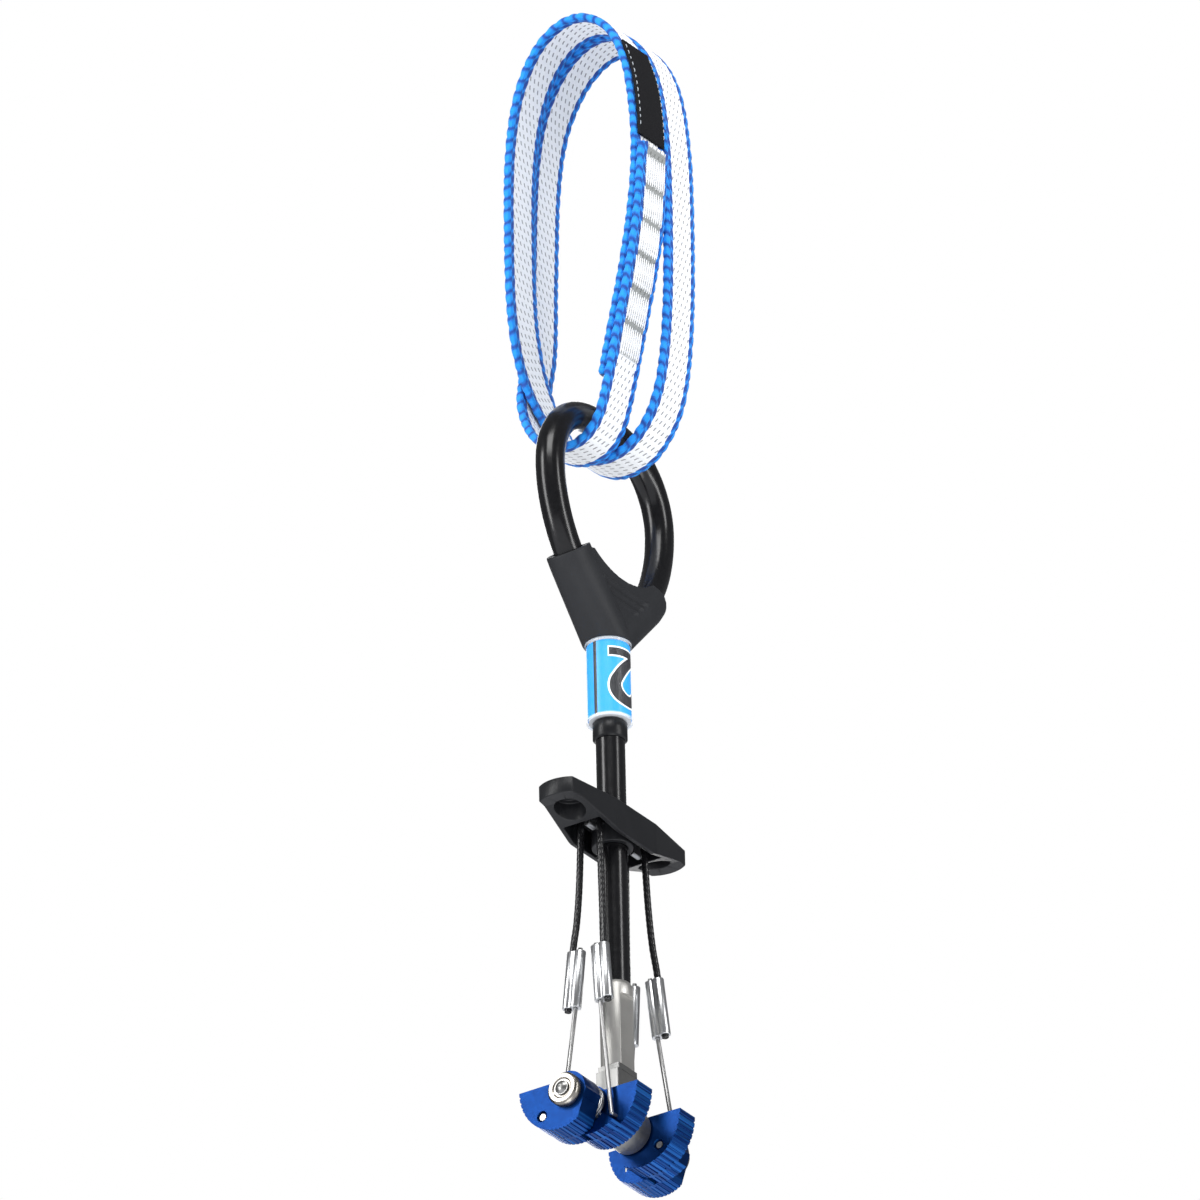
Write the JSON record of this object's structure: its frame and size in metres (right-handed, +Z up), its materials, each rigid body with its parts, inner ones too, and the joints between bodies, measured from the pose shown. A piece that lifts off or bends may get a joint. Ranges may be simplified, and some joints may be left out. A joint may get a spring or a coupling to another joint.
{
  "type": "spring loaded camming device",
  "caption": "Spring loaded camming device with opposed cam lobes on one axle, a flexible stem, a trigger bar, a thumb loop and a sewn sling.",
  "frame": {"origin": "the clip-in point: middle of the inside of the sling's top, from which the device hangs", "axes": "+Z up along the stem towards the sling's top, X along the cam axle, Y across the thumb loop; the outer lobes point to +Y"},
  "size_m": [0.0506, 0.0397, 0.2809],
  "materials": {
    "sling_webbing": "woven webbing, blue edges and a white middle",
    "sling_thread": "thread bar tacks",
    "sling_patch": "woven patch",
    "steel_cable": "stranded steel cable",
    "hose_gloss": "gloss black hose",
    "moulded_rubber": "satin moulded rubber",
    "label_core": "plain",
    "size_label": "printed blue film",
    "clear_shrink": "clear heat-shrink",
    "black_plastic": "satin moulded nylon",
    "swage_steel": "pressed satin steel",
    "termination_steel": "polished",
    "axle_steel": "ground steel",
    "washer_steel": "satin nickel",
    "spring_steel": "bright wire",
    "cam_anodised": "royal blue anodised, satin",
    "cable_coating": "coated cable",
    "sleeve_aluminium": "bright pressed aluminium",
    "wire_steel": "bright wire",
    "saddle_metal": "satin"
  },
  "bodies": {
    "sling": {"sling_webbing": "sling_webbing", "sling_stitching": "sling_thread", "sling_label_patch": "sling_patch"},
    "stem": {"stem_cable": "steel_cable", "thumb_loop_cover": "hose_gloss", "loop_boot": "moulded_rubber", "label_core": "label_core", "size_label": "size_label", "label_shrink": "clear_shrink", "stem_collar": "black_plastic", "stem_tube": "hose_gloss", "stem_swage": "swage_steel", "stem_termination": "termination_steel", "axle": "axle_steel", "axle_washer_left": "washer_steel", "axle_washer_right": "washer_steel", "torsion_spring_left": "spring_steel", "torsion_spring_right": "spring_steel"},
    "trigger": {"trigger_bar": "black_plastic", "cable_saddle_left": "saddle_metal", "cable_saddle_right": "saddle_metal"},
    "lobe_outer_left": {"cam_lobe_outer_left": "cam_anodised"},
    "lobe_inner_left": {"cam_lobe_inner_left": "cam_anodised"},
    "lobe_inner_right": {"cam_lobe_inner_right": "cam_anodised"},
    "lobe_outer_right": {"cam_lobe_outer_right": "cam_anodised"},
    "linkage_outer_left": {"trigger_cable_outer_left": "cable_coating", "crimp_sleeve_outer_left": "sleeve_aluminium", "trigger_wire_outer_left": "wire_steel"},
    "linkage_inner_left": {"trigger_cable_inner_left": "cable_coating", "crimp_sleeve_inner_left": "sleeve_aluminium", "trigger_wire_inner_left": "wire_steel"},
    "linkage_inner_right": {"trigger_cable_inner_right": "cable_coating", "crimp_sleeve_inner_right": "sleeve_aluminium", "trigger_wire_inner_right": "wire_steel"},
    "linkage_outer_right": {"trigger_cable_outer_right": "cable_coating", "crimp_sleeve_outer_right": "sleeve_aluminium", "trigger_wire_outer_right": "wire_steel"}
  },
  "joints": [
    {"name": "stem_swing", "type": "hinge", "parent": "sling", "child": "stem", "pos_m": [0, 0, -0.0975], "axis": [1, 0, 0], "range_deg": [-60, 60]},
    {"name": "trigger_slide", "type": "slide", "parent": "stem", "child": "trigger", "axis": [0, 0, 1], "range_m": [0, 0.0092], "stiffness_N_per_m": 400, "springref_m": -0.01},
    {"name": "cam_turn_outer_left", "type": "hinge", "parent": "stem", "child": "lobe_outer_left", "pos_m": [0, 0, -0.2705], "axis": [1, 0, 0], "range_deg": [0, 70.05], "deforming": ["torsion_spring_left"]},
    {"name": "wire_turn_outer_left", "type": "hinge", "parent": "lobe_outer_left", "child": "linkage_outer_left", "pos_m": [-0.01325, 0.00669, -0.27489], "axis": [-1, 0, 0], "range_deg": [0, 70.05]},
    {"name": "cam_turn_inner_left", "type": "hinge", "parent": "stem", "child": "lobe_inner_left", "pos_m": [0, 0, -0.2705], "axis": [-1, 0, 0], "range_deg": [0, 70.05]},
    {"name": "wire_turn_inner_left", "type": "hinge", "parent": "lobe_inner_left", "child": "linkage_inner_left", "pos_m": [-0.01325, -0.00669, -0.27489], "axis": [1, 0, 0], "range_deg": [0, 70.05]},
    {"name": "cam_turn_inner_right", "type": "hinge", "parent": "stem", "child": "lobe_inner_right", "pos_m": [0, 0, -0.2705], "axis": [-1, 0, 0], "range_deg": [0, 70.05]},
    {"name": "wire_turn_inner_right", "type": "hinge", "parent": "lobe_inner_right", "child": "linkage_inner_right", "pos_m": [0.01325, -0.00669, -0.27489], "axis": [1, 0, 0], "range_deg": [0, 70.05]},
    {"name": "cam_turn_outer_right", "type": "hinge", "parent": "stem", "child": "lobe_outer_right", "pos_m": [0, 0, -0.2705], "axis": [1, 0, 0], "range_deg": [0, 70.05], "deforming": ["torsion_spring_right"]},
    {"name": "wire_turn_outer_right", "type": "hinge", "parent": "lobe_outer_right", "child": "linkage_outer_right", "pos_m": [0.01325, 0.00669, -0.27489], "axis": [-1, 0, 0], "range_deg": [0, 70.05]}
  ],
  "couplings": [
    {"joint": "cam_turn_outer_left", "follows": "trigger_slide", "rad_per_m": 132.8},
    {"joint": "wire_turn_outer_left", "follows": "trigger_slide", "rad_per_m": 132.8},
    {"joint": "cam_turn_inner_left", "follows": "trigger_slide", "rad_per_m": 132.8},
    {"joint": "wire_turn_inner_left", "follows": "trigger_slide", "rad_per_m": 132.8},
    {"joint": "cam_turn_inner_right", "follows": "trigger_slide", "rad_per_m": 132.8},
    {"joint": "wire_turn_inner_right", "follows": "trigger_slide", "rad_per_m": 132.8},
    {"joint": "cam_turn_outer_right", "follows": "trigger_slide", "rad_per_m": 132.8},
    {"joint": "wire_turn_outer_right", "follows": "trigger_slide", "rad_per_m": 132.8}
  ]
}
